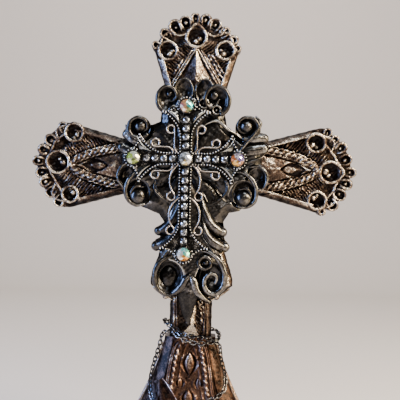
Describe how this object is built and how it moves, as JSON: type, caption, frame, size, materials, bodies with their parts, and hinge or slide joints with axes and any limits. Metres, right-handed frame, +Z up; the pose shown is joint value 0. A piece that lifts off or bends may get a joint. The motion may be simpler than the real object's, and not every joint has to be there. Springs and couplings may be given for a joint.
{
  "type": "altar cross",
  "caption": "Free-standing ornate metal cross on a flaring foot, with a scrolled overlay, a stone-set pendant cross and a fine chain round its waist.",
  "frame": {"origin": "middle of the foot's underside", "axes": "+Z up, the front with the pendant faces -Y, +X to the viewer's right"},
  "size_m": [0.161, 0.066, 0.24],
  "materials": {
    "bronze_casting": "antiqued, satin, dark in the recesses",
    "foot_casting": "antiqued, satin, dark in the recesses",
    "gunmetal_casting": "polished dark plating, bright on the edges",
    "blackened_pewter": "blackened, bright on the edges",
    "pewter_wire": "soft satin",
    "setting_metal": "dark satin",
    "zinc_steel": "plain zinc plated",
    "crystal_rose": "faceted, coloured back foil",
    "crystal_lemon": "faceted, coloured back foil",
    "crystal_clear": "faceted, clear with back foil",
    "crystal_amber": "faceted, coloured back foil",
    "crystal_aqua": "faceted, coloured back foil",
    "small_stone": "faceted, clear with back foil",
    "chain_metal": "black plated",
    "felt": "matt felt"
  },
  "bodies": {
    "root": {"cross_body": "bronze_casting", "foot": "foot_casting", "tie_rod": "zinc_steel", "rod_washer": "zinc_steel", "rod_nut": "zinc_steel", "felt_pad": "felt", "scroll_overlay": "gunmetal_casting", "overlay_pins": "zinc_steel", "pendant_frame": "blackened_pewter", "pendant_posts": "zinc_steel", "wire_scrolls_upper": "pewter_wire", "wire_scrolls_lower": "pewter_wire", "large_cups": "setting_metal", "crystal_top": "crystal_rose", "crystal_left": "crystal_lemon", "crystal_centre": "crystal_clear", "crystal_right": "crystal_amber", "crystal_bottom": "crystal_aqua", "cup_strip_top": "setting_metal", "cup_strip_left": "setting_metal", "cup_strip_right": "setting_metal", "cup_strip_bottom": "setting_metal", "stones_top": "small_stone", "stones_left": "small_stone", "stones_right": "small_stone", "stones_bottom": "small_stone", "chain_turn_low": "chain_metal", "chain_turn_high": "chain_metal"},
    "left_tail_upper": {"chain_left_upper": "chain_metal"},
    "left_tail_lower": {"chain_left_lower": "chain_metal"},
    "right_tail_upper": {"chain_right_upper": "chain_metal"},
    "right_tail_lower": {"chain_right_lower": "chain_metal"}
  },
  "joints": [
    {"name": "left_tail_swing", "type": "hinge", "parent": "root", "child": "left_tail_upper", "pos_m": [-0.01475, -0.00348, 0.07662], "axis": [-0.4283, 0.8677, 0.2523], "range_deg": [0, 45]},
    {"name": "left_tail_bend", "type": "hinge", "parent": "left_tail_upper", "child": "left_tail_lower", "pos_m": [-0.01804, -0.00684, 0.06488], "axis": [-0.6328, 0.7431, -0.2176], "range_deg": [0, 45]},
    {"name": "right_tail_swing", "type": "hinge", "parent": "root", "child": "right_tail_upper", "pos_m": [0.01504, -0.00795, 0.07418], "axis": [-0.6045, -0.5798, -0.5463], "range_deg": [0, 45]},
    {"name": "right_tail_bend", "type": "hinge", "parent": "right_tail_upper", "child": "right_tail_lower", "pos_m": [0.01764, -0.0124, 0.05815], "axis": [-0.8205, -0.5008, 0.2756], "range_deg": [0, 45]}
  ]
}
